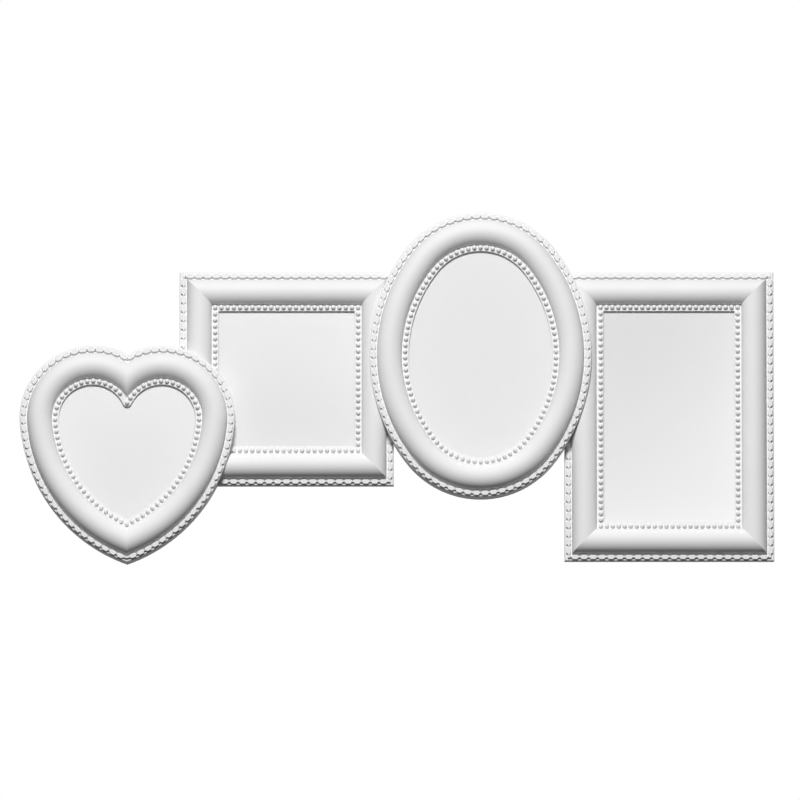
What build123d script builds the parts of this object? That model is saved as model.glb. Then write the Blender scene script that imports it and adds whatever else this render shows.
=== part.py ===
from build123d import *
import os
from math import acos, asin, atan2, cos, degrees, hypot, radians, sin, sqrt

os.makedirs("parts", exist_ok=True)

# Four moulded wall frames lapped into one row, in millimetres.
# X runs along the wall, Z up it, and the front faces -Y. The wall plane is Y = 0.
# The origin lies in the wall plane, midway between the two keyhole hangers.

# Moulding shared by the four frames, measured inward from the outer edge
trim_width = 5.1
roll_radius = 8.7
bead_ledge_width = 4.8
wall = 2.2
edge_round = 0.8
sight_round = 0.5

# What lies behind the lip, measured along the depth
lip_thickness = 1.0
ledge_rise = 0.8
pane_thickness = 1.2
insert_thickness = 0.5
board_thickness = 3.0
button_thickness = 1.2
screw_head_height = 1.25
screw_head_recess = 0.8
plate_thickness = 1.5

# Clearances
stack_clearance = 0.3
lap_clearance = 0.3
button_gap = 0.2
rebate_gap = 0.4
seat_gap = 0.1
head_gap = 0.05
running_clearance = 0.05
notch_clearance = 0.4

# Outlines
square_side = 149.0
rectangle_width = 145.5
rectangle_height = 201.6
oval_width = 154.0
oval_height = 198.8
oval_end_radius = 65.0
lobe_radius = 50.6
lobe_offset = 24.0
side_radius = 112.0
side_angle = 5.0
tongue_height = 11.2

# How the frames lie in the row
hanger_spacing = 264.0
hanger_drop = 12.0
oval_drop = 46.7
square_lap = 16.8
rectangle_lap = 18.7
heart_lap = 38.6
heart_drop = 91.2
corner_lap = 12.2

# Screws, bosses and plates
screw_radius = 1.45
screw_head_radius = 2.7
screw_bite = 8.0
boss_radius = 2.8
boss_root = 0.5
pilot_depth = 10.0
joiner_width = 9.0
joiner_spread = 47.0
heart_joiner_angle = 97.0
heart_joiner_turn = 27.0
hanger_length = 44.0
hanger_width = 16.0
hanger_screw_spread = 16.0
hanger_corner = 2.0
keyhole_radius = 4.5
keyhole_slot_width = 4.4
keyhole_rise = 4.5

# Turn buttons, and where they stand on each frame
button_pivot_radius = 4.0
button_tip_radius = 2.6
button_reach = 16.0
button_offset = 42.0
oval_button_turn = 35.0
lobe_button_angle = 135.0
side_button_turn = 45.0

# Depths, built up from the wall plane
button_back = screw_head_recess + screw_head_height + head_gap
button_front = button_back + button_thickness
board_back = button_front + button_gap
insert_back = board_back + board_thickness
pane_back = insert_back + insert_thickness
pane_front = pane_back + pane_thickness
ledge_height = pane_front + lip_thickness
trim_height = ledge_height - ledge_rise
crest_height = trim_height + roll_radius
rebate_end = button_front + rebate_gap
button_seat = button_front + seat_gap
boss_top = crest_height - wall + boss_root
lift = roll_radius + wall + lap_clearance

# Insets from an outer edge
crest_inset = trim_width + roll_radius
ledge_inset = crest_inset + roll_radius
roll_foot_angle = degrees(asin(ledge_rise / roll_radius))
rail_width = ledge_inset + bead_ledge_width
stack_inset = ledge_inset + stack_clearance
joint_inset = corner_lap + boss_radius + notch_clearance

# Places in the row
square_right = square_lap - oval_width / 2
square_left = square_right - square_side
square_x = (square_left + square_right) / 2
square_bottom = hanger_drop - square_side
rectangle_left = oval_width / 2 - rectangle_lap
rectangle_right = rectangle_left + rectangle_width
rectangle_x = (rectangle_left + rectangle_right) / 2
rectangle_bottom = hanger_drop - rectangle_height
heart_x = square_left + heart_lap - lobe_offset - lobe_radius
heart_mirror = Plane.YZ.offset(heart_x)
hole_radius = screw_radius + running_clearance
screw_cone = screw_head_radius - screw_radius
on_seat = (Align.CENTER, Align.CENTER, Align.MIN)

# Four-centre oval: two end arcs and two side arcs that meet in tangent
end_rise = oval_height / 2 - oval_end_radius
end_shift = oval_width / 2 - oval_end_radius
oval_side_radius = ((oval_width / 2) ** 2 - oval_end_radius**2 + end_rise**2) / (2 * end_shift)
side_shift = oval_side_radius - oval_width / 2
oval_turn = degrees(atan2(end_rise, side_shift))
oval_arcs = [
    ((-side_shift, -oval_drop), oval_side_radius, -oval_turn, 2 * oval_turn),
    ((0, end_rise - oval_drop), oval_end_radius, oval_turn, 180 - 2 * oval_turn),
    ((side_shift, -oval_drop), oval_side_radius, 180 - oval_turn, 2 * oval_turn),
    ((0, -end_rise - oval_drop), oval_end_radius, 180 + oval_turn, 180 - 2 * oval_turn),
]

# Right half of the heart: a lobe arc, a flatter side arc down to the tip, and a rounded tongue at the cleft
lobe_centre = (heart_x + lobe_offset, -heart_drop)
side_reach = side_radius - lobe_radius
side_centre = (
    lobe_centre[0] - side_reach * cos(radians(side_angle)),
    lobe_centre[1] + side_reach * sin(radians(side_angle)),
)
side_cross = heart_x - side_centre[0]
tongue_centre = (heart_x, tongue_height - heart_drop)
tongue_inset = lobe_radius - hypot(lobe_offset, tongue_height)
tongue_turn = degrees(atan2(tongue_height, lobe_offset))


def on_arc(centre, radius, angle):
    """A point of the wall plane, as X and Z."""
    return (centre[0] + radius * cos(radians(angle)), centre[1] + radius * sin(radians(angle)))


def section_plane(centre, radius, angle):
    """A plane across a curved rail: its x runs inward from the outer edge, its y to the front."""
    x, z = on_arc(centre, radius, angle)
    inward = Vector(centre[0] - x, 0, centre[1] - z).normalized()
    return Plane(origin=(x, 0, z), x_dir=inward, z_dir=inward.cross(Vector(0, -1, 0)))


def turning_axis(centre):
    """The axis of a rail's arc, towards the front, so that angles count as they do on the wall."""
    return Axis((centre[0], 0, centre[1]), (0, -1, 0))


def moulding_section(plane, raised, from_inset=0.0):
    """The shell's section: outer wall, trim ledge, half-round roll, lipped bead ledge and rebate wall."""
    trim = trim_height + raised
    ledge = ledge_height + raised
    with BuildSketch(plane) as drawn:
        with BuildLine():
            Line((0, 0), (0, trim - edge_round))
            CenterArc((edge_round, trim - edge_round), edge_round, 90, 90)
            Line((edge_round, trim), (trim_width, trim))
            roll = CenterArc((crest_inset, trim), roll_radius, roll_foot_angle, 180 - roll_foot_angle)
            Line(roll @ 0, (rail_width - sight_round, ledge))
            CenterArc((rail_width - sight_round, ledge - sight_round), sight_round, 0, 90)
            Polyline(
                (rail_width, ledge - sight_round),
                (rail_width, pane_front + raised),
                (ledge_inset, pane_front + raised),
                (ledge_inset, rebate_end + raised),
                (ledge_inset - wall, rebate_end + raised),
                (ledge_inset - wall, trim),
            )
            CenterArc((crest_inset, trim), roll_radius - wall, 0, 180)
            Polyline(
                (trim_width + wall, trim),
                (trim_width + wall, trim - wall),
                (wall, trim - wall),
                (wall, 0),
                (0, 0),
            )
        make_face()
        with Locations((from_inset, 0)):
            Rectangle(rail_width, crest_height + raised, align=Align.MIN, mode=Mode.INTERSECT)
    return drawn.sketch


def lapped_section(plane):
    """What a raised frame has to clear: a low frame's rail, filled in and grown by the lap clearance."""
    with BuildSketch(plane) as drawn:
        with Locations((-lap_clearance, 0)):
            Rectangle(rail_width + lap_clearance, ledge_height + lap_clearance, align=Align.MIN)
        with Locations((crest_inset, trim_height)):
            Circle(roll_radius + lap_clearance)
    return drawn.sketch


def rail_path(left, right, top, bottom):
    """A closed path round a straight-sided frame, from the middle of its top."""
    middle = (left + right) / 2
    with BuildLine(Plane.XZ) as path:
        Polyline((middle, top), (right, top), (right, bottom), (left, bottom), (left, top), (middle, top))
    return path.wire()


def top_plane(middle, top):
    """The section plane at the middle of a straight-sided frame's top rail."""
    return Plane(origin=(middle, 0, top), x_dir=(0, 0, -1), z_dir=(-1, 0, 0))


def straight_face(left, right, top, bottom, inset, depth):
    """A straight-sided outline, inset, at a depth."""
    with BuildSketch(Plane.XZ.offset(depth)) as drawn:
        with Locations(((left + right) / 2, (top + bottom) / 2)):
            Rectangle(right - left - 2 * inset, top - bottom - 2 * inset)
    return drawn.sketch


def oval_face(inset, depth):
    """The oval's outline, inset, at a depth."""
    with BuildSketch(Plane.XZ.offset(depth)) as drawn:
        with BuildLine():
            for centre, radius, start, turn in oval_arcs:
                CenterArc(centre, radius - inset, start, turn)
        make_face()
    return drawn.sketch


def heart_face(inset, depth):
    """The heart's outline, inset, at a depth: the cleft is sharp until the tongue's round begins."""
    tip_angle = -degrees(acos(side_cross / (side_radius - inset)))
    rounded = inset > tongue_inset
    lobe_end = 180 - tongue_turn if rounded else degrees(acos(-lobe_offset / (lobe_radius - inset)))
    with BuildSketch(Plane.XZ.offset(depth)) as drawn:
        with BuildLine():
            CenterArc(side_centre, side_radius - inset, tip_angle, -side_angle - tip_angle)
            CenterArc(lobe_centre, lobe_radius - inset, -side_angle, lobe_end + side_angle)
            if rounded:
                CenterArc(tongue_centre, inset - tongue_inset, -90, 90 - tongue_turn)
            mirror(about=heart_mirror)
        make_face()
    return drawn.sketch


def joiner_face(ends, radius):
    """A flat bar's outline with round ends."""
    with BuildSketch(Plane.XZ) as drawn:
        with Locations(*ends):
            Circle(radius)
        make_hull()
    return drawn.sketch


def plate_notches(joiners):
    """Lets flush joiner plates through the walls of the frame being built."""
    for ends in joiners:
        notch = joiner_face(ends, joiner_width / 2 + notch_clearance)
        extrude(notch, amount=plate_thickness + notch_clearance, mode=Mode.SUBTRACT)


def at_depth(points, depth):
    """Places on the wall, at a depth, that face the front."""
    return Locations(*[Plane.XZ.offset(depth) * Location((x, z, 0)) for x, z in points])


def bosses(points, seat, raised):
    """Screw bosses under the roll of the frame being built, each with its pilot hole."""
    with at_depth(points, seat):
        Cylinder(boss_radius, boss_top + raised - seat, align=on_seat)
        Cylinder(hole_radius, pilot_depth, align=on_seat, mode=Mode.SUBTRACT)


def countersunk_screws(points):
    """Flush screws through plates in the wall plane."""
    with at_depth(points, 0):
        Cylinder(screw_radius, plate_thickness + screw_bite, align=on_seat)
        Cone(screw_head_radius, screw_radius, screw_cone, align=on_seat)


def countersunk_holes(points):
    """Holes for flush screws in the plate being built."""
    with at_depth(points, 0):
        Cylinder(hole_radius, plate_thickness, align=on_seat, mode=Mode.SUBTRACT)
        Cone(
            screw_head_radius + running_clearance,
            hole_radius,
            screw_cone,
            align=on_seat,
            mode=Mode.SUBTRACT,
        )


# Joiner plates: each runs from a screw in one frame's channel to a screw in its neighbour's
oval_joint_x = sqrt((oval_side_radius - crest_inset) ** 2 - joiner_spread**2) - side_shift
joint_heights = [joiner_spread - oval_drop, -joiner_spread - oval_drop]
square_oval_joiners = [((square_right - crest_inset, z), (-oval_joint_x, z)) for z in joint_heights]
oval_rectangle_joiners = [((oval_joint_x, z), (rectangle_left + crest_inset, z)) for z in joint_heights]
upper_heart_joint = on_arc(lobe_centre, lobe_radius - joint_inset, heart_joiner_angle)
lower_heart_joint = on_arc(side_centre, side_radius - joint_inset, -heart_joiner_turn)
heart_square_joiners = [
    (upper_heart_joint, (square_left + crest_inset, upper_heart_joint[1] + crest_inset)),
    (lower_heart_joint, (lower_heart_joint[0] + 2 * joint_inset, square_bottom + crest_inset)),
]
joiners = heart_square_joiners + square_oval_joiners + oval_rectangle_joiners

# Hangers: one keyhole plate in the top rail of the square and one in that of the rectangle
hangers = {"square": -hanger_spacing / 2, "rectangle": hanger_spacing / 2}
hanger_screws_at = {
    name: [(x - hanger_screw_spread, 0), (x + hanger_screw_spread, 0)] for name, x in hangers.items()
}

# Turn buttons: pivot, direction towards the board in degrees from +X, and how far the frame is raised
square_middle = (hanger_drop + square_bottom) / 2
rectangle_middle = (hanger_drop + rectangle_bottom) / 2
left_side_centre = (2 * heart_x - side_centre[0], side_centre[1])
left_lobe_centre = (2 * heart_x - lobe_centre[0], lobe_centre[1])
turn_buttons = {
    "heart": [
        (on_arc(left_lobe_centre, lobe_radius - crest_inset, lobe_button_angle), lobe_button_angle + 180),
        (on_arc(left_side_centre, side_radius - crest_inset, 180 + side_button_turn), side_button_turn),
        (on_arc(side_centre, side_radius - crest_inset, -side_button_turn), 180 - side_button_turn),
    ],
    "square": [
        ((square_x - button_offset, hanger_drop - crest_inset), 270),
        ((square_right - crest_inset, square_middle), 180),
        ((square_x + button_offset / 2, square_bottom + crest_inset), 90),
    ],
    "oval": [
        (on_arc(centre, radius - crest_inset, start + turn / 2 + tilt), start + turn / 2 + tilt + 180)
        for centre, radius, start, turn in oval_arcs[1::2]
        for tilt in (-oval_button_turn, oval_button_turn)
    ],
    "rectangle": [
        ((rectangle_x + button_offset, hanger_drop - crest_inset), 270),
        ((rectangle_left + crest_inset, rectangle_middle - button_offset), 0),
        ((rectangle_x, rectangle_bottom + crest_inset), 90),
        ((rectangle_right - crest_inset, rectangle_middle), 180),
    ],
}
raised = {"heart": lift, "square": 0.0, "oval": lift, "rectangle": 0.0}
pivots = {name: [pivot for pivot, inward in buttons] for name, buttons in turn_buttons.items()}
square_edges = (square_left, square_right, hanger_drop, square_bottom)
rectangle_edges = (rectangle_left, rectangle_right, hanger_drop, rectangle_bottom)

# Square frame: mitred rails, with the corner that the heart hides cut away
with BuildPart() as square_frame:
    sweep(
        moulding_section(top_plane(square_x, hanger_drop), 0),
        path=rail_path(*square_edges),
        transition=Transition.RIGHT,
    )
    plate_notches(heart_square_joiners + square_oval_joiners)
    bosses([ends[1] for ends in heart_square_joiners], plate_thickness, 0)
    bosses([ends[0] for ends in square_oval_joiners], plate_thickness, 0)
    bosses(hanger_screws_at["square"], plate_thickness, 0)
    bosses(pivots["square"], button_seat, 0)
    extrude(heart_face(corner_lap, 0), amount=crest_height, mode=Mode.SUBTRACT)
square_frame.part.label = "square_frame"
export_step(square_frame.part, "parts/square_frame.step")

# Rectangle frame: mitred rails, upright
with BuildPart() as rectangle_frame:
    sweep(
        moulding_section(top_plane(rectangle_x, hanger_drop), 0),
        path=rail_path(*rectangle_edges),
        transition=Transition.RIGHT,
    )
    plate_notches(oval_rectangle_joiners)
    bosses([ends[1] for ends in oval_rectangle_joiners], plate_thickness, 0)
    bosses(hanger_screws_at["rectangle"], plate_thickness, 0)
    bosses(pivots["rectangle"], button_seat, 0)
rectangle_frame.part.label = "rectangle_frame"
export_step(rectangle_frame.part, "parts/rectangle_frame.step")

# What the raised frames are scribed over: the square with its cut corner left open, and the rectangle
with BuildPart() as square_envelope:
    sweep(
        lapped_section(top_plane(square_x, hanger_drop)),
        path=rail_path(*square_edges),
        transition=Transition.RIGHT,
    )
    extrude(straight_face(*square_edges, crest_inset, 0), amount=pane_front + lap_clearance)
    extrude(heart_face(corner_lap + lap_clearance, 0), amount=crest_height + roll_radius, mode=Mode.SUBTRACT)
with BuildPart() as rectangle_envelope:
    sweep(
        lapped_section(top_plane(rectangle_x, hanger_drop)),
        path=rail_path(*rectangle_edges),
        transition=Transition.RIGHT,
    )

# Oval frame: four turned rails, raised over its two neighbours
with BuildPart() as oval_frame:
    for centre, radius, start, turn in oval_arcs:
        section = moulding_section(section_plane(centre, radius, start), lift)
        revolve(section, axis=turning_axis(centre), revolution_arc=turn)
    plate_notches(square_oval_joiners + oval_rectangle_joiners)
    bosses([ends[1] for ends in square_oval_joiners], plate_thickness, lift)
    bosses([ends[0] for ends in oval_rectangle_joiners], plate_thickness, lift)
    bosses(pivots["oval"], button_seat + lift, lift)
    add(square_envelope.part, mode=Mode.SUBTRACT)
    add(rectangle_envelope.part, mode=Mode.SUBTRACT)
oval_frame.part.label = "oval_frame"
export_step(oval_frame.part, "parts/oval_frame.step")

# Right half of the heart's rail, mitred on its axis at the cleft and the tip
with BuildPart() as heart_rail:
    revolve(
        moulding_section(section_plane(lobe_centre, lobe_radius, -side_angle), lift),
        axis=turning_axis(lobe_centre),
        revolution_arc=180 - tongue_turn + side_angle,
    )
    revolve(
        moulding_section(section_plane(side_centre, side_radius, -90), lift),
        axis=turning_axis(side_centre),
        revolution_arc=90 - side_angle,
    )
    revolve(
        moulding_section(section_plane(tongue_centre, -tongue_inset, 270 - tongue_turn), lift, tongue_inset),
        axis=turning_axis(tongue_centre),
        revolution_arc=90,
    )
    split(bisect_by=heart_mirror, keep=Keep.TOP)

# Heart frame: the half rail and its mirror image, raised over the square
with BuildPart() as heart_frame:
    add(heart_rail.part)
    mirror(about=heart_mirror)
    plate_notches(heart_square_joiners)
    bosses([ends[0] for ends in heart_square_joiners], plate_thickness, lift)
    bosses(pivots["heart"], button_seat + lift, lift)
    add(square_envelope.part, mode=Mode.SUBTRACT)
heart_frame.part.label = "heart_frame"
export_step(heart_frame.part, "parts/heart_frame.step")

# Pane, blank insert and back board of each frame, stacked behind its lip
stack = [
    ("pane", pane_back, pane_thickness),
    ("insert", insert_back, insert_thickness),
    ("back_board", board_back, board_thickness),
]
for piece, depth, thickness in stack:
    faces = {
        "heart": heart_face(stack_inset, depth + lift),
        "square": straight_face(*square_edges, stack_inset, depth),
        "oval": oval_face(stack_inset, depth + lift),
        "rectangle": straight_face(*rectangle_edges, stack_inset, depth),
    }
    for name, face in faces.items():
        with BuildPart() as sheet:
            extrude(face, amount=thickness)
        sheet.part.label = f"{name}_{piece}"
        export_step(sheet.part, f"parts/{name}_{piece}.step")

# Turn buttons: flat teardrops that swing over the back boards
for name, buttons in turn_buttons.items():
    for number, ((x, z), inward) in enumerate(buttons, 1):
        towards_board = (cos(radians(inward)), 0, sin(radians(inward)))
        back_face = Plane(
            origin=(x, -button_back - raised[name], z), x_dir=towards_board, z_dir=(0, -1, 0)
        )
        with BuildPart() as turn_button:
            with BuildSketch(back_face):
                Circle(button_pivot_radius)
                with Locations((button_reach - button_tip_radius, 0)):
                    Circle(button_tip_radius)
                make_hull()
                Circle(hole_radius, mode=Mode.SUBTRACT)
            extrude(amount=button_thickness)
        turn_button.part.label = f"{name}_turn_button_{number}"
        export_step(turn_button.part, f"parts/{name}_turn_button_{number}.step")

# Pan-head pivot screws of the turn buttons
with BuildPart() as turn_button_screws:
    for name, points in pivots.items():
        screw_length = button_seat - screw_head_recess + screw_bite
        with at_depth(points, screw_head_recess + raised[name]):
            Cylinder(screw_head_radius, screw_head_height, align=on_seat)
            Cylinder(screw_radius, screw_length, align=on_seat)
turn_button_screws.part.label = "turn_button_screws"
export_step(turn_button_screws.part, "parts/turn_button_screws.step")

# Joiner plates across the laps, flush in the wall plane
joiner_names = ["heart_square", "square_oval", "oval_rectangle"]
for name, pair in zip(joiner_names, [heart_square_joiners, square_oval_joiners, oval_rectangle_joiners]):
    for place, ends in zip(["upper", "lower"], pair):
        with BuildPart() as joiner:
            extrude(joiner_face(ends, joiner_width / 2), amount=plate_thickness)
            countersunk_holes(ends)
        joiner.part.label = f"{name}_{place}_joiner"
        export_step(joiner.part, f"parts/{name}_{place}_joiner.step")

with BuildPart() as joiner_screws:
    countersunk_screws([end for ends in joiners for end in ends])
joiner_screws.part.label = "joiner_screws"
export_step(joiner_screws.part, "parts/joiner_screws.step")

# Keyhole hanger plates, flush in the wall plane
for name, x in hangers.items():
    with BuildPart() as hanger:
        with BuildSketch(Plane.XZ):
            with Locations((x, 0)):
                RectangleRounded(hanger_length, hanger_width, hanger_corner)
                Circle(keyhole_radius, mode=Mode.SUBTRACT)
            with Locations((x, keyhole_rise / 2)):
                SlotCenterToCenter(keyhole_rise, keyhole_slot_width, rotation=90, mode=Mode.SUBTRACT)
        extrude(amount=plate_thickness)
        countersunk_holes(hanger_screws_at[name])
    hanger.part.label = f"{name}_hanger"
    export_step(hanger.part, f"parts/{name}_hanger.step")

with BuildPart() as hanger_screws:
    countersunk_screws([point for points in hanger_screws_at.values() for point in points])
hanger_screws.part.label = "hanger_screws"
export_step(hanger_screws.part, "parts/hanger_screws.step")
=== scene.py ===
from math import acos, atan2, copysign, cos, hypot, pi, radians, sin

import bpy
from mathutils import Matrix, Vector


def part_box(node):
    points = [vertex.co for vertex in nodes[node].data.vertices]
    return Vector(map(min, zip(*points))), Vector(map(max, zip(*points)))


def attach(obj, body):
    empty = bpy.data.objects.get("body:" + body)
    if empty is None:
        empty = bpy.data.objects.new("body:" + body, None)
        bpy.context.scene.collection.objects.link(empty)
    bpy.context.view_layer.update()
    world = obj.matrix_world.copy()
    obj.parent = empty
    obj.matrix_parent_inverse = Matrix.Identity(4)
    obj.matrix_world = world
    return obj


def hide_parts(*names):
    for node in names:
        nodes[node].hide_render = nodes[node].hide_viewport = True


# Four white moulded photo frames, lapped into one row for the wall, in metres.
# X runs along the wall, Z up it, and the front faces -Y.
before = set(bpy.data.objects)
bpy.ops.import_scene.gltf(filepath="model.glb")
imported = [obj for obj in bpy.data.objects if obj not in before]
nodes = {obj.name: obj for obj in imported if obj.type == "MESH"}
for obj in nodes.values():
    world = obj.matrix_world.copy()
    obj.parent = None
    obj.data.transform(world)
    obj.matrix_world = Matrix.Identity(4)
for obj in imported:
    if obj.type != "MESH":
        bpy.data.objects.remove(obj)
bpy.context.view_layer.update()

# Frames: four injection mouldings in white polystyrene, with a satin skin from the mould.
# Their rolls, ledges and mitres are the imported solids; only the finish is added here.
raised_frames = ["heart", "oval"]
straight_frames = ["square", "rectangle"]
frame_names = raised_frames + straight_frames
frame_box = {name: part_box(f"{name}_frame") for name in frame_names}
moulded_white = "EDEDED"
moulded_white_shade = "E7E7E7"
mould_grain = 0.0006
mould_cloud = 0.03

# The colour sockets of a Mix node share their names with its other sockets, so they go by their place.
first_colour = 6
second_colour = 7
mixed_colour = 2


def linear(hex_colour):
    """An sRGB hex colour as linear red, green, blue and alpha."""
    channels = [int(hex_colour[i : i + 2], 16) / 255 for i in (0, 2, 4)]
    return [c / 12.92 if c <= 0.04045 else ((c + 0.055) / 1.055) ** 2.4 for c in channels] + [1.0]


def add_node(tree, kind, inputs, **settings):
    """Adds a node with its settings; an input is a value or another node's output."""
    node = tree.nodes.new(kind)
    for name, value in settings.items():
        setattr(node, name, value)
    for name, value in inputs.items():
        if isinstance(value, bpy.types.NodeSocket):
            tree.links.new(value, node.inputs[name])
        else:
            node.inputs[name].default_value = value
    return node


def new_material(name):
    """A new material, its node tree, its surface shader and the place on the object."""
    material = bpy.data.materials.new(name)
    material.use_nodes = True
    tree = material.node_tree
    place = add_node(tree, "ShaderNodeTexCoord", {}).outputs["Object"]
    return material, tree, tree.nodes["Principled BSDF"], place


def set_material(piece, material):
    """Gives every face of a piece or of a carried-over node one material."""
    piece.data.materials.clear()
    piece.data.materials.append(material)


# Moulded polystyrene: an opaque, even white with a broad soft highlight from its satin skin.
# The mould's grain is drawn at 0.6 mm, coarser than it is, so that it shows.
satin_white, tree, shader, place = new_material("satin_white_polystyrene")
cloud = add_node(tree, "ShaderNodeTexNoise", {"Vector": place, "Scale": 1 / mould_cloud, "Detail": 3.0})
shades = {first_colour: linear(moulded_white), second_colour: linear(moulded_white_shade)}
tone = add_node(tree, "ShaderNodeMix", {"Factor": cloud.outputs["Fac"], **shades}, data_type="RGBA")
grain = add_node(tree, "ShaderNodeTexNoise", {"Vector": place, "Scale": 1 / mould_grain, "Detail": 2.0})
skin = add_node(
    tree, "ShaderNodeBump", {"Height": grain.outputs["Fac"], "Strength": 0.05, "Distance": 0.0002}
)
gloss = add_node(
    tree, "ShaderNodeMapRange", {"Value": cloud.outputs["Fac"], "To Min": 0.54, "To Max": 0.62}
)
tree.links.new(tone.outputs[mixed_colour], shader.inputs["Base Color"])
tree.links.new(gloss.outputs["Result"], shader.inputs["Roughness"])
tree.links.new(skin.outputs["Normal"], shader.inputs["Normal"])
shader.inputs["IOR"].default_value = 1.5
shader.inputs["Specular IOR Level"].default_value = 0.2
for name in frame_names:
    set_material(nodes[f"{name}_frame"], satin_white)

# Bead rows: round beads moulded in one with each frame, along the ledge beside the sight edge.
# The straight frames have a bead in every corner, and the heart lacks one beside its tongue.
bead_radius = 0.0016
bead_root = 0.0007
bead_seat = 0.0003
roll_radius = 0.0087
ledge_rise = 0.0008
bead_inset = {"heart": 0.0246, "oval": 0.0246}
level_bead_inset = {"square": 0.0246, "rectangle": 0.0244}
upright_bead_inset = {"square": 0.0248, "rectangle": 0.0251}
oval_beads = 94
heart_beads = 78
oval_end_radius = 0.065
heart_lobe_radius = 0.0506
heart_side_radius = 0.112
heart_side_angle = radians(5)
heart_tongue_height = 0.0112
facing_front = Matrix.Rotation(pi / 2, 4, "X")

# How many steps from bead to bead the level sides and the upright sides have.
bead_steps = {"square": (23, 23), "rectangle": (23, 35)}


def start_piece():
    """Leaves edit mode and selects nothing, so that the next operator acts on the new piece alone."""
    if bpy.context.object and bpy.context.object.mode == "EDIT":
        bpy.ops.object.mode_set(mode="OBJECT")
    bpy.ops.object.select_all(action="DESELECT")


def trim_height(name):
    """How far the flat trim of a frame stands out from the wall."""
    return -frame_box[name][0].y - roll_radius


def stand(places, height):
    """Stations: places on the wall, brought forward by a height, each with its heading."""
    return [((x, -height, z), heading) for x, z, heading in places]


def on_show(name, stations):
    """The stations that stand on a straight frame's own moulding and that no raised frame covers."""
    own = nodes[f"{name}_frame"]
    covers = [nodes[f"{cover}_frame"] for cover in raised_frames]
    ahead = Vector((0, -1, 0))
    proud = 0.001
    shown = []
    for point, heading in stations:
        start = Vector(point) + proud * ahead
        carried = own.ray_cast(start, -ahead, distance=3 * proud)[0]
        if carried and not any(cover.ray_cast(start, ahead)[0] for cover in covers):
            shown.append((point, heading))
    return shown


def sides(name, upright_inset, level_inset):
    """The four sides of a straight frame, inset, clockwise from its top left corner."""
    low, high = frame_box[name]
    left, right = low.x + upright_inset, high.x - upright_inset
    bottom, top = low.z + level_inset, high.z - level_inset
    corners = [(left, top), (right, top), (right, bottom), (left, bottom)]
    return list(zip(corners, corners[1:] + corners[:1]))


def along_side(start, end, steps, margin=0.0):
    """Evenly spaced places on a side, between margins, each with the side's heading."""
    heading = atan2(end[1] - start[1], end[0] - start[0])
    reach = hypot(end[0] - start[0], end[1] - start[1]) - 2 * margin
    distances = [margin + reach * step / steps for step in range(steps + 1)]
    return [(start[0] + d * cos(heading), start[1] + d * sin(heading), heading) for d in distances]


def along_arcs(arcs, distances):
    """Places at distances along a run of arcs, each given by its centre, radius, start and turn."""
    places = []
    passed = 0.0
    for (x, z), radius, start, turn in arcs:
        length = radius * abs(turn)
        for distance in distances:
            if passed <= distance < passed + length:
                angle = start + turn * (distance - passed) / length
                heading = angle + copysign(pi / 2, turn)
                places.append((x + radius * cos(angle), z + radius * sin(angle), heading))
        passed += length
    return places


def run_length(arcs):
    """How long the arcs of a run are together."""
    return sum(radius * abs(turn) for centre, radius, start, turn in arcs)


def oval_run(inset):
    """The four-centre oval, inset, clockwise from the middle of its top."""
    low, high = frame_box["oval"]
    x, z = (low.x + high.x) / 2, (low.z + high.z) / 2
    half_width, half_height = (high.x - low.x) / 2, (high.z - low.z) / 2
    rise = half_height - oval_end_radius
    side_radius = (half_width**2 - oval_end_radius**2 + rise**2) / (2 * (half_width - oval_end_radius))
    shift = side_radius - half_width
    turn = atan2(rise, shift)
    return [
        ((x, z + rise), oval_end_radius - inset, pi / 2, turn - pi / 2),
        ((x - shift, z), side_radius - inset, turn, -2 * turn),
        ((x, z - rise), oval_end_radius - inset, -turn, 2 * turn - pi),
        ((x + shift, z), side_radius - inset, pi + turn, -2 * turn),
        ((x, z + rise), oval_end_radius - inset, pi - turn, turn - pi / 2),
    ]


def heart_run(inset):
    """The heart, inset, clockwise from its cleft: the right half, then its mirror image upwards."""
    low, high = frame_box["heart"]
    axis = (low.x + high.x) / 2
    lobe = (high.x - heart_lobe_radius, high.z - heart_lobe_radius)
    lobe_offset = lobe[0] - axis
    side_reach = heart_side_radius - heart_lobe_radius
    side = (lobe[0] - side_reach * cos(heart_side_angle), lobe[1] + side_reach * sin(heart_side_angle))
    tip = -acos((axis - side[0]) / (heart_side_radius - inset))
    tongue_inset = heart_lobe_radius - hypot(lobe_offset, heart_tongue_height)
    half = []
    if inset > tongue_inset:
        tongue = (axis, lobe[1] + heart_tongue_height)
        tongue_turn = atan2(heart_tongue_height, lobe_offset)
        half.append((tongue, inset - tongue_inset, -pi / 2, pi / 2 - tongue_turn))
        lobe_start = pi - tongue_turn
    else:
        lobe_start = acos(-lobe_offset / (heart_lobe_radius - inset))
    half.append((lobe, heart_lobe_radius - inset, lobe_start, -heart_side_angle - lobe_start))
    half.append((side, heart_side_radius - inset, -heart_side_angle, tip + heart_side_angle))
    mirrored = [
        ((2 * axis - x, z), radius, pi - start - turn, turn)
        for (x, z), radius, start, turn in reversed(half)
    ]
    return half + mirrored


def take_up(piece):
    """Selects a piece beside what is selected, and makes it the one that operators act on."""
    piece.select_set(True)
    bpy.context.view_layer.objects.active = piece


def own_copy(piece):
    """A copy of a piece with a mesh of its own, taken up."""
    copy = piece.copy()
    copy.data = piece.data.copy()
    bpy.context.collection.objects.link(copy)
    take_up(copy)
    return copy


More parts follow.
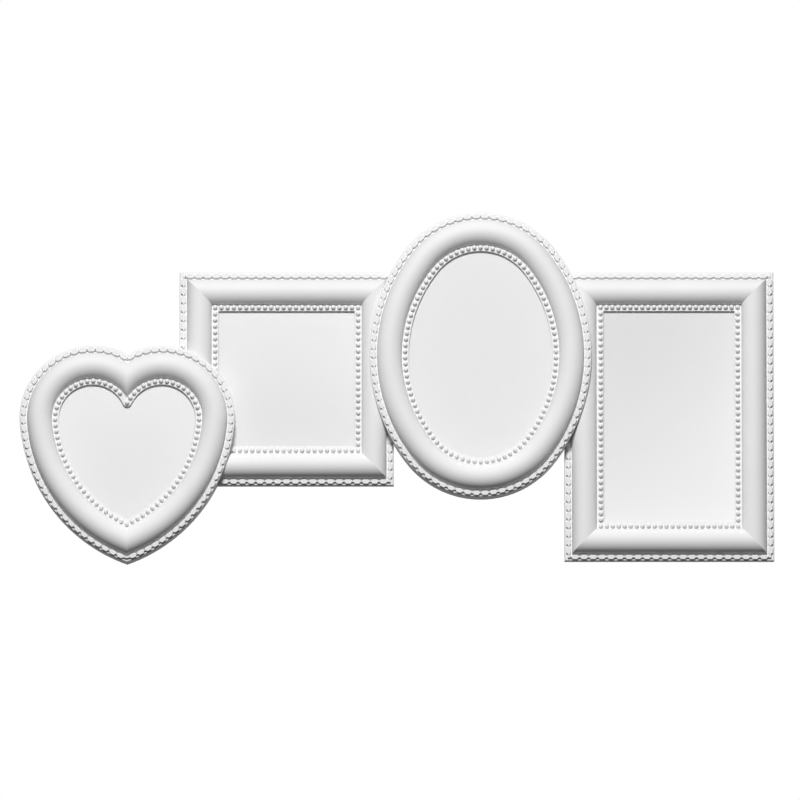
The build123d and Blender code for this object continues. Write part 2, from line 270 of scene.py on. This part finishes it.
def set_row(name, pattern, stations, facing, material):
    """Copies a modelled pattern to its stations and joins the copies into one piece on the row."""
    start_piece()
    for point, heading in stations:
        copy = own_copy(pattern)
        copy.data.transform(Matrix.Translation(point) @ facing @ Matrix.Rotation(heading, 4, "Z"))
    bpy.ops.object.join()
    piece = bpy.context.object
    piece.name = name
    set_material(piece, material)
    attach(piece, "row")
    return piece


start_piece()
bpy.ops.mesh.primitive_uv_sphere_add(segments=12, ring_count=8, radius=bead_radius)
bead = bpy.context.object
bpy.ops.object.mode_set(mode="EDIT")
bpy.ops.mesh.bisect(plane_co=(0, 0, 0), plane_no=(0, 0, 1), clear_inner=True, threshold=1e-6)
bpy.ops.mesh.select_all(action="DESELECT")
bpy.ops.mesh.select_non_manifold()
bpy.ops.mesh.extrude_edges_move(TRANSFORM_OT_translate={"value": (0, 0, -bead_root - bead_seat)})
bpy.ops.mesh.edge_face_add()
bpy.ops.object.mode_set(mode="OBJECT")
bpy.ops.object.shade_smooth_by_angle(angle=radians(60))

heart_bead_run = heart_run(bead_inset["heart"])
heart_bead_step = run_length(heart_bead_run) / heart_beads
oval_bead_run = oval_run(bead_inset["oval"])
oval_bead_step = run_length(oval_bead_run) / oval_beads
bead_places = {
    "heart": along_arcs(heart_bead_run, [heart_bead_step * number for number in range(heart_beads - 1)]),
    "oval": along_arcs(oval_bead_run, [oval_bead_step * number for number in range(oval_beads)]),
}
for name, steps in bead_steps.items():
    bead_places[name] = []
    bead_sides = sides(name, upright_bead_inset[name], level_bead_inset[name])
    for number, (start, end) in enumerate(bead_sides):
        bead_places[name] += along_side(start, end, steps[number % 2])[:-1]
for name, places in bead_places.items():
    stations = stand(places, trim_height(name) + ledge_rise + bead_root)
    if name in straight_frames:
        stations = on_show(name, stations)
    set_row(f"{name}_beads", bead, stations, facing_front, satin_white)
bpy.data.objects.remove(bead)

# Trim chains: a flat-topped strip moulded on each frame's outer edge, broad links joined by narrow necks.
# The necks lie nearer to the roll. Two of them meet in each square corner, and two at the heart's tip.
chain_inset = 0.0026
neck_inset = 0.0029
chain_wall = 0.0015
chain_ease = 0.0002
chain_top_share = 0.88
link_width = 0.0031
link_side = 0.0032
link_taper = 0.0006
neck_width = 0.0013
link_pitch = 0.0061
link_overlap = 0.0002
first_link_inset = 0.0072
oval_links = 90
heart_half_links = 39
heart_cleft_gap = 0.0029
heart_tip_gap = 0.0048
corner_margin = first_link_inset - chain_inset


def flat_strip(length, width):
    """A flat start for a length of the strip, in edit mode, centred on the origin along X."""
    start_piece()
    bpy.ops.mesh.primitive_plane_add(size=1)
    bpy.ops.object.mode_set(mode="EDIT")
    bpy.ops.transform.resize(value=(length, width, 1))


def raise_strip():
    """Raises the flat start to the strip's height, with its upper edges drawn in."""
    bpy.ops.mesh.select_all(action="SELECT")
    bpy.ops.mesh.extrude_region_move(TRANSFORM_OT_translate={"value": (0, 0, chain_wall)})
    bpy.ops.mesh.extrude_region_move(TRANSFORM_OT_translate={"value": (0, 0, chain_ease)})
    bpy.ops.transform.resize(value=(1, chain_top_share, 1))
    bpy.ops.object.mode_set(mode="OBJECT")
    return bpy.context.object


def neck_bar(start, end):
    """A straight neck along X."""
    flat_strip(end - start, neck_width)
    bpy.ops.transform.translate(value=((start + end) / 2, 0, 0))
    return raise_strip()


def pick_edge(piece, direction):
    """Selects the end edge of a flat start that lies furthest along X or against it."""
    bpy.ops.mesh.select_mode(type="EDGE")
    bpy.ops.mesh.select_all(action="DESELECT")
    bpy.ops.object.mode_set(mode="OBJECT")
    points = piece.data.vertices
    end = max(piece.data.edges, key=lambda edge: direction * sum(points[i].co.x for i in edge.vertices))
    end.select = True
    bpy.ops.object.mode_set(mode="EDIT")


neck_reach = (link_pitch + link_overlap) / 2
neck_run = neck_reach - link_side / 2 - link_taper
flat_strip(link_side, link_width)
link = bpy.context.object
for direction in (1, -1):
    pick_edge(link, direction)
    to_neck = (direction * link_taper, chain_inset - neck_inset, 0)
    bpy.ops.mesh.extrude_region_move(TRANSFORM_OT_translate={"value": to_neck})
    bpy.ops.transform.resize(value=(1, neck_width / link_width, 1))
    bpy.ops.mesh.extrude_region_move(TRANSFORM_OT_translate={"value": (direction * neck_run, 0, 0)})
raise_strip()

corner_reach = corner_margin + chain_inset - neck_inset - neck_reach + link_overlap
corner = neck_bar(-neck_width / 2, corner_reach)
corner_arm = neck_bar(neck_width / 2, corner_reach)
corner_arm.data.transform(Matrix.Rotation(-pi / 2, 4, "Z"))
start_piece()
corner_arm.select_set(True)
take_up(corner)
bpy.ops.object.join()
tip_neck = neck_bar(0, heart_tip_gap - neck_reach + link_overlap)

heart_chain_run = heart_run(chain_inset)
heart_half = run_length(heart_chain_run) / 2
heart_step = (heart_half - heart_cleft_gap - heart_tip_gap) / (heart_half_links - 1)
right_links = [heart_cleft_gap + heart_step * number for number in range(heart_half_links)]
left_links = [2 * heart_half - distance for distance in right_links]
oval_chain_run = oval_run(chain_inset)
oval_step = run_length(oval_chain_run) / oval_links
link_places = {
    "heart": along_arcs(heart_chain_run, right_links + left_links),
    "oval": along_arcs(oval_chain_run, [oval_step * (number + 0.5) for number in range(oval_links)]),
}
for name in straight_frames:
    link_places[name] = []
    for start, end in sides(name, chain_inset, chain_inset):
        length = hypot(end[0] - start[0], end[1] - start[1]) - 2 * corner_margin
        link_places[name] += along_side(start, end, round(length / link_pitch), corner_margin)
    corners = [along_side(start, end, 1)[0] for start, end in sides(name, neck_inset, neck_inset)]
    stations = on_show(name, stand(corners, trim_height(name)))
    set_row(f"{name}_chain_corners", corner, stations, facing_front, satin_white)
for name, places in link_places.items():
    stations = stand(places, trim_height(name))
    if name in straight_frames:
        stations = on_show(name, stations)
    set_row(f"{name}_chain", link, stations, facing_front, satin_white)
tip_run = heart_run(neck_inset)
tip_x, tip_z, left_heading = along_arcs(tip_run, [run_length(tip_run) / 2])[0]
tip_places = [(tip_x, tip_z, left_heading), (tip_x, tip_z, pi - left_heading)]
tip_stations = stand(tip_places, trim_height("heart"))
set_row("heart_chain_tip", tip_neck, tip_stations, facing_front, satin_white)
for pattern in (link, corner, tip_neck):
    bpy.data.objects.remove(pattern)

# Panes: clear polished sheets of glass, cut to each opening, that lie behind the lip.
# They add only a faint sheen to the card behind them.
pane_clear = "FDFDFD"
pane_ripple = 0.04

# Clear glass: a mirror's sharp reflection, about a twenty-fifth as strong, over what lies behind it.
# Lamp light and bounced light go straight through, so that the card behind the glass is lit.
clear_glass, tree, shader, place = new_material("clear_polished_glass")
ripple = add_node(tree, "ShaderNodeTexNoise", {"Vector": place, "Scale": 1 / pane_ripple, "Detail": 1.0})
wave = add_node(
    tree, "ShaderNodeBump", {"Height": ripple.outputs["Fac"], "Strength": 0.02, "Distance": 0.0005}
)
tree.links.new(wave.outputs["Normal"], shader.inputs["Normal"])
shader.inputs["Base Color"].default_value = linear(pane_clear)
shader.inputs["Roughness"].default_value = 0.02
shader.inputs["IOR"].default_value = 1.5
shader.inputs["Transmission Weight"].default_value = 1.0
rays = add_node(tree, "ShaderNodeLightPath", {})
straight_through = add_node(
    tree,
    "ShaderNodeMath",
    {0: rays.outputs["Is Shadow Ray"], 1: rays.outputs["Is Diffuse Ray"]},
    operation="MAXIMUM",
)
clear = add_node(tree, "ShaderNodeBsdfTransparent", {"Color": linear(pane_clear)})
lit_glass = add_node(
    tree,
    "ShaderNodeMixShader",
    {0: straight_through.outputs["Value"], 1: shader.outputs["BSDF"], 2: clear.outputs["BSDF"]},
)
tree.links.new(lit_glass.outputs["Shader"], tree.nodes["Material Output"].inputs["Surface"])
for name in frame_names:
    set_material(nodes[f"{name}_pane"], clear_glass)

# Inserts: blank cards that come with the frames, printed in a pale grey, with a painted sheen that
# lightens each one across.
# Each lies behind its pane, a hair away from the glass.
card_gap = 0.00005
card_fibre = 0.0005

# Which way the painted sheen on each card grows lighter, from which tone of its grey print, and to which.
card_painted_sheen = {
    "heart": (radians(90), "EEEEEE", "F3F3F3"),
    "square": (radians(65), "E9E9E9", "F3F3F3"),
    "oval": (radians(-80), "ECECEC", "F0F0F0"),
    "rectangle": (radians(-52), "E1E1E1", "FEFEFE"),
}


def merged_copy(node_name, piece_name):
    """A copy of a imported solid, its loose faces merged, left in edit mode with nothing selected."""
    start_piece()
    piece = own_copy(nodes[node_name])
    piece.name = piece_name
    bpy.ops.object.mode_set(mode="EDIT")
    bpy.ops.mesh.select_mode(type="VERT")
    bpy.ops.mesh.select_all(action="SELECT")
    bpy.ops.mesh.remove_doubles(threshold=1e-6)
    bpy.ops.mesh.select_all(action="DESELECT")
    return piece


# Coated card: a dull, even print on smooth paper, so soft in its highlight that only the tone is seen. A
# painted sheen, a gradient that stands in for the glass's reflection, lightens the print across the card.
# The fibres are drawn at 0.5 mm, many times as thick as they are, so that they show.
for name, (direction, dark, light) in card_painted_sheen.items():
    card, tree, shader, place = new_material(f"grey_card_with_painted_sheen_{name}")
    low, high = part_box(f"{name}_insert")
    middle = (low + high) / 2
    reach = (high.x - low.x) * abs(cos(direction)) + (high.z - low.z) * abs(sin(direction))
    across = add_node(
        tree,
        "ShaderNodeVectorMath",
        {0: place, 1: (cos(direction) / reach, 0, sin(direction) / reach)},
        operation="DOT_PRODUCT",
    )
    offset = (middle.x * cos(direction) + middle.z * sin(direction)) / reach
    shade = add_node(
        tree,
        "ShaderNodeMapRange",
        {"Value": across.outputs["Value"], "From Min": offset - 0.5, "From Max": offset + 0.5},
        interpolation_type="SMOOTHSTEP",
    )
    shades = {first_colour: linear(dark), second_colour: linear(light)}
    print_and_sheen_tone = add_node(
        tree, "ShaderNodeMix", {"Factor": shade.outputs["Result"], **shades}, data_type="RGBA"
    )
    fibre = add_node(tree, "ShaderNodeTexNoise", {"Vector": place, "Scale": 1 / card_fibre, "Detail": 2.0})
    paper = add_node(
        tree, "ShaderNodeBump", {"Height": fibre.outputs["Fac"], "Strength": 0.05, "Distance": 0.0001}
    )
    tree.links.new(print_and_sheen_tone.outputs[mixed_colour], shader.inputs["Base Color"])
    tree.links.new(paper.outputs["Normal"], shader.inputs["Normal"])
    shader.inputs["Roughness"].default_value = 0.7
    shader.inputs["Specular IOR Level"].default_value = 0.3
    piece = merged_copy(f"{name}_insert", f"{name}_card")
    bpy.ops.object.mode_set(mode="OBJECT")
    for vertex in piece.data.vertices:
        vertex.select = vertex.co.y < low.y + card_gap
    bpy.ops.object.mode_set(mode="EDIT")
    bpy.ops.transform.translate(value=(0, card_gap, 0))
    bpy.ops.object.mode_set(mode="OBJECT")
    set_material(piece, card)
    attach(piece, "row")
    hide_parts(f"{name}_insert")

# Back boards: sheets of brown hardboard, 3 mm thick, cut to each opening and held in by the turn buttons.
# Hardboard is wood fibre pressed hot into a thin, stiff sheet.
board_brown = "80603F"
board_dark = "644931"
board_fibre = "A58661"
board_cloud = 0.025
fibre_length = 0.005
fibre_width = 0.0006
fibre_lies = (20, 80, 140)

# Pressed wood fibre: a dull brown that clouds from light to dark, with paler fibres that lie every way.
# The fibres are drawn at 0.6 mm, several times as thick as they are, so that they show.
hardboard, tree, shader, place = new_material("pressed_brown_hardboard")
cloud = add_node(tree, "ShaderNodeTexNoise", {"Vector": place, "Scale": 1 / board_cloud, "Detail": 4.0})
shades = {first_colour: linear(board_brown), second_colour: linear(board_dark)}
mat = add_node(tree, "ShaderNodeMix", {"Factor": cloud.outputs["Fac"], **shades}, data_type="RGBA")
felt = mat.outputs[mixed_colour]
fibre_scale = (1 / fibre_length, 1 / fibre_width, 1 / fibre_width)
for lie in fibre_lies:
    laid = add_node(
        tree,
        "ShaderNodeMapping",
        {"Vector": place, "Rotation": (0, radians(lie), 0), "Scale": fibre_scale},
    )
    strands = add_node(
        tree, "ShaderNodeTexNoise", {"Vector": laid.outputs["Vector"], "Scale": 1.0, "Detail": 1.0}
    )
    shown = add_node(
        tree,
        "ShaderNodeMapRange",
        {"Value": strands.outputs["Fac"], "From Min": 0.6, "From Max": 0.75, "To Max": 0.45},
    )
    shades = {first_colour: felt, second_colour: linear(board_fibre)}
    felted = add_node(
        tree, "ShaderNodeMix", {"Factor": shown.outputs["Result"], **shades}, data_type="RGBA"
    )
    felt = felted.outputs[mixed_colour]
fuzz = add_node(
    tree, "ShaderNodeBump", {"Height": strands.outputs["Fac"], "Strength": 0.25, "Distance": 0.0002}
)
tree.links.new(felt, shader.inputs["Base Color"])
tree.links.new(fuzz.outputs["Normal"], shader.inputs["Normal"])
shader.inputs["Roughness"].default_value = 0.75
shader.inputs["Specular IOR Level"].default_value = 0.3
for name in frame_names:
    set_material(nodes[f"{name}_back_board"], hardboard)

# Plates and turn buttons: stamped from thin steel sheet and zinc plated, as small frame fittings are.
# The turn buttons swing over the back boards, and the plates tie the frames together and hang them.
zinc_bright = "C1C5CA"
zinc_dull = "A6ABB1"
zinc_cloud = 0.004
rolling_length = 0.01
rolling_width = 0.0003

# Bright zinc plate: a bluish-white metal, clouded in patches by its passivation.
# The sheet's rolling lines run along the wall, drawn at 0.3 mm so that they show.
zinc_plate, tree, shader, place = new_material("bright_zinc_plated_steel")
cloud = add_node(tree, "ShaderNodeTexNoise", {"Vector": place, "Scale": 1 / zinc_cloud, "Detail": 3.0})
shades = {first_colour: linear(zinc_bright), second_colour: linear(zinc_dull)}
tone = add_node(tree, "ShaderNodeMix", {"Factor": cloud.outputs["Fac"], **shades}, data_type="RGBA")
rolled = add_node(
    tree,
    "ShaderNodeMapping",
    {"Vector": place, "Scale": (1 / rolling_length, 1 / rolling_width, 1 / rolling_width)},
)
lines = add_node(
    tree, "ShaderNodeTexNoise", {"Vector": rolled.outputs["Vector"], "Scale": 1.0, "Detail": 1.0}
)
scored = add_node(
    tree, "ShaderNodeBump", {"Height": lines.outputs["Fac"], "Strength": 0.08, "Distance": 0.0001}
)
dullness = add_node(
    tree, "ShaderNodeMapRange", {"Value": cloud.outputs["Fac"], "To Min": 0.25, "To Max": 0.45}
)
tree.links.new(tone.outputs[mixed_colour], shader.inputs["Base Color"])
tree.links.new(dullness.outputs["Result"], shader.inputs["Roughness"])
tree.links.new(scored.outputs["Normal"], shader.inputs["Normal"])
shader.inputs["Metallic"].default_value = 1.0
for name, node in nodes.items():
    if name.endswith(("hanger", "joiner")) or "turn_button_" in name:
        set_material(node, zinc_plate)

# Screws: zinc-plated steel with a crossed slot, driven into bosses that are moulded behind the rolls.
# Pan heads carry the turn buttons, and countersunk heads lie flush in the joiner and hanger plates.
head_radius = 0.0027
shank_radius = 0.00145
pan_height = 0.00125
pan_round = 0.0007
slot_length = 0.0032
slot_width = 0.0007
slot_depth = 0.0009
slot_taper = (0.5, 0.7, 1)
point_length = 0.0015
point_share = 0.2
slot_turn = radians(37)
facing_wall = Matrix.Rotation(-pi / 2, 4, "X")


def screw_stations(group):
    """Where the screws of a packed group have their heads, and how long the screws are."""
    merged_copy(group, "loose_screws")
    bpy.ops.mesh.separate(type="LOOSE")
    bpy.ops.object.mode_set(mode="OBJECT")
    stations = []
    for number, screw in enumerate(list(bpy.context.selected_objects)):
        corners = [Vector(corner) for corner in screw.bound_box]
        low, high = corners[0], corners[6]
        stations.append((((low.x + high.x) / 2, high.y, (low.z + high.z) / 2), slot_turn * number))
        length = high.y - low.y
        bpy.data.objects.remove(screw)
    return stations, length


def pick_end(piece, direction):
    """Selects the end face of a turned piece that looks up or down."""
    bpy.ops.mesh.select_mode(type="FACE")
    bpy.ops.mesh.select_all(action="DESELECT")
    bpy.ops.object.mode_set(mode="OBJECT")
    end = max(piece.data.polygons, key=lambda face: direction * face.center.z)
    end.select = True
    bpy.ops.object.mode_set(mode="EDIT")


def driven_screw(length, head_height, countersunk):
    """A screw with the back of its head at the origin and its shank below it."""
    start_piece()
    bpy.ops.mesh.primitive_cylinder_add(
        vertices=24, radius=head_radius, depth=head_height, location=(0, 0, -head_height / 2)
    )
    bpy.ops.object.transform_apply()
    screw = bpy.context.object
    bpy.ops.object.mode_set(mode="EDIT")
    pick_end(screw, -1)
    if countersunk:
        bpy.ops.transform.resize(value=(shank_radius / head_radius, shank_radius / head_radius, 1))
    else:
        bpy.ops.mesh.inset(thickness=head_radius - shank_radius)
    shank_length = length - head_height - point_length
    bpy.ops.mesh.extrude_region_move(TRANSFORM_OT_translate={"value": (0, 0, -shank_length)})
    bpy.ops.mesh.extrude_region_move(TRANSFORM_OT_translate={"value": (0, 0, -point_length)})
    bpy.ops.transform.resize(value=(point_share, point_share, 1))
    if not countersunk:
        pick_end(screw, 1)
        bpy.ops.mesh.bevel(offset=pan_round, segments=3)
    for turn in (0, pi / 2):
        start_piece()
        bpy.ops.mesh.primitive_cube_add(size=1, scale=(slot_length, slot_width, 2 * slot_depth))
        bpy.ops.object.transform_apply()
        cutter = bpy.context.object
        bpy.ops.object.mode_set(mode="EDIT")
        pick_end(cutter, -1)
        bpy.ops.transform.resize(value=slot_taper)
        bpy.ops.object.mode_set(mode="OBJECT")
        cutter.data.transform(Matrix.Rotation(turn, 4, "Z"))
        start_piece()
        take_up(screw)
        slot = screw.modifiers.new("slot", "BOOLEAN")
        slot.operation = "DIFFERENCE"
        slot.object = cutter
        bpy.ops.object.modifier_apply(modifier="slot")
        bpy.data.objects.remove(cutter)
    bpy.ops.object.shade_smooth_by_angle(angle=radians(35))
    return screw


screw_groups = {
    "turn_button_screws": (pan_height, False),
    "joiner_screws": (head_radius - shank_radius, True),
    "hanger_screws": (head_radius - shank_radius, True),
}
for group, (head_height, countersunk) in screw_groups.items():
    stations, length = screw_stations(group)
    screw = driven_screw(length, head_height, countersunk)
    piece = set_row(f"slotted_{group}", screw, stations, facing_wall, zinc_plate)
    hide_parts(group)
    bpy.data.objects.remove(screw)

# Stage: a pale floor well below the row, a white surround, a lamp high in front and one behind.
# The floor and the surround look white, but send little light back, so that undersides stay dark.
floor_size = 8.0
floor_level = -0.75
floor_pale = "9A9A9A"
floor_bounce = "3C3C3C"
floor_glow = 0.66
ambient = 0.09
start_piece()
bpy.ops.mesh.primitive_plane_add(size=floor_size, location=(0, 0, floor_level))
floor = bpy.context.object
floor.name = "studio_floor"
floor_paint, tree, shader = new_material("pale_floor_paint")[:3]
rays = add_node(tree, "ShaderNodeLightPath", {})
shades = {first_colour: linear(floor_pale), second_colour: linear(floor_bounce)}
floor_tone = add_node(
    tree, "ShaderNodeMix", {"Factor": rays.outputs["Is Diffuse Ray"], **shades}, data_type="RGBA"
)
glow = add_node(
    tree,
    "ShaderNodeMapRange",
    {"Value": rays.outputs["Is Diffuse Ray"], "To Min": floor_glow, "To Max": 0.0},
)
tree.links.new(floor_tone.outputs[mixed_colour], shader.inputs["Base Color"])
tree.links.new(glow.outputs["Result"], shader.inputs["Emission Strength"])
shader.inputs["Emission Color"].default_value = linear("FFFFFF")
shader.inputs["Roughness"].default_value = 0.9
shader.inputs["Specular IOR Level"].default_value = 0.1
floor_paint.cycles.emission_sampling = "NONE"
set_material(floor, floor_paint)

world = bpy.data.worlds.new("white_surround")
bpy.context.scene.world = world
world.use_nodes = True
tree = world.node_tree
tree.nodes.clear()
rays = add_node(tree, "ShaderNodeLightPath", {})
seen = add_node(
    tree,
    "ShaderNodeMath",
    {0: rays.outputs["Is Camera Ray"], 1: rays.outputs["Is Glossy Ray"]},
    operation="MAXIMUM",
)
shown = add_node(
    tree,
    "ShaderNodeMath",
    {0: seen.outputs["Value"], 1: rays.outputs["Is Transmission Ray"]},
    operation="MAXIMUM",
)
strength = add_node(
    tree, "ShaderNodeMapRange", {"Value": shown.outputs["Value"], "To Min": ambient, "To Max": 1.0}
)
surround = add_node(
    tree, "ShaderNodeBackground", {"Color": linear("FFFFFF"), "Strength": strength.outputs["Result"]}
)
add_node(tree, "ShaderNodeOutputWorld", {"Surface": surround.outputs["Background"]})

aim = Vector((-0.0559, -0.012, -0.0777))


def stand_facing(piece, azimuth, elevation, distance):
    """Stands a lamp or the camera at a distance from the row, facing it, by angles in degrees."""
    level = cos(radians(elevation))
    towards = Vector(
        (sin(radians(azimuth)) * level, -cos(radians(azimuth)) * level, sin(radians(elevation)))
    )
    piece.location = aim + distance * towards
    piece.rotation_euler = towards.to_track_quat("Z", "Y").to_euler()
    bpy.context.collection.objects.link(piece)


def add_lamp(name, size, power, azimuth, elevation, distance):
    """A square soft lamp that faces the row and that the camera doesn't see."""
    data = bpy.data.lights.new(name, "AREA")
    data.size = size
    data.energy = power
    lamp = bpy.data.objects.new(name, data)
    lamp.visible_camera = False
    stand_facing(lamp, azimuth, elevation, distance)


add_lamp("key_lamp", size=0.64, power=103, azimuth=-4, elevation=33, distance=3.2)
add_lamp("back_lamp", size=1.2, power=80, azimuth=165, elevation=15, distance=4.0)

# Camera: a long lens a little below the row, as in the photograph.
# The lens gives the row the photograph's own size in the picture.
camera_distance = 8.0
camera_drop = 6.3
pixels_per_metre = 1440
frame_pixels = 800
camera_data = bpy.data.cameras.new("camera")
camera_data.sensor_width = 36
camera_data.lens = camera_data.sensor_width * pixels_per_metre * camera_distance / frame_pixels
camera_data.clip_end = 50
camera = bpy.data.objects.new("camera", camera_data)
stand_facing(camera, azimuth=0, elevation=-camera_drop, distance=camera_distance)
bpy.context.scene.camera = camera
bpy.context.scene.view_settings.view_transform = "Standard"
